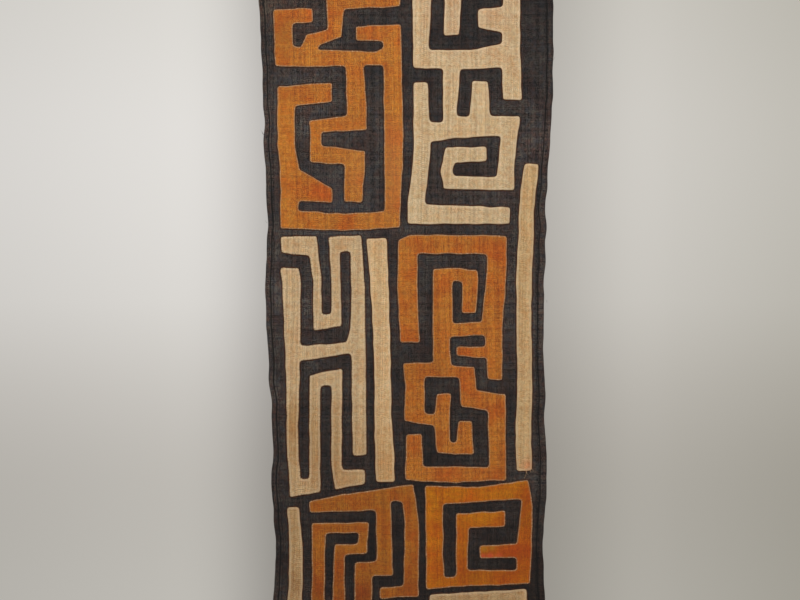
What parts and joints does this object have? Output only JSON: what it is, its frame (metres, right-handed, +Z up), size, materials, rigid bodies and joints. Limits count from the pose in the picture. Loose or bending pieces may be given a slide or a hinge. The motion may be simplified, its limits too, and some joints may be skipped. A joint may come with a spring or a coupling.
{
  "type": "kuba raffia cloth",
  "caption": "Hanging of dark plain-woven raffia cloth with key-shaped orange and natural raffia pieces sewn on its front and folded hems.",
  "frame": {"origin": "middle of the cloth's top edge, where it is held up", "axes": "+X to the right seen from the front, +Z up along the length, and the sewn front faces -Y"},
  "size_m": [0.593, 0.0155, 1.42],
  "materials": {
    "dark_raffia": "plain-woven raffia dyed charcoal brown, dry and matt",
    "orange_raffia": "plain-woven raffia dyed orange, with redder patches and a light overcast edge",
    "natural_raffia": "plain-woven undyed raffia, straw coloured, soiled low down"
  },
  "bodies": {
    "root": {"ground_cloth": "dark_raffia", "orange_key_upper_left": "orange_raffia", "natural_key_upper_right": "natural_raffia", "natural_strip_right": "natural_raffia", "natural_key_mid_left": "natural_raffia", "natural_bar_mid_left": "natural_raffia", "orange_key_mid_right": "orange_raffia", "natural_strip_lower_left": "natural_raffia", "orange_key_lower_left": "orange_raffia", "orange_key_lower_right": "orange_raffia", "natural_bar_lower_right": "natural_raffia"}
  },
  "joints": []
}
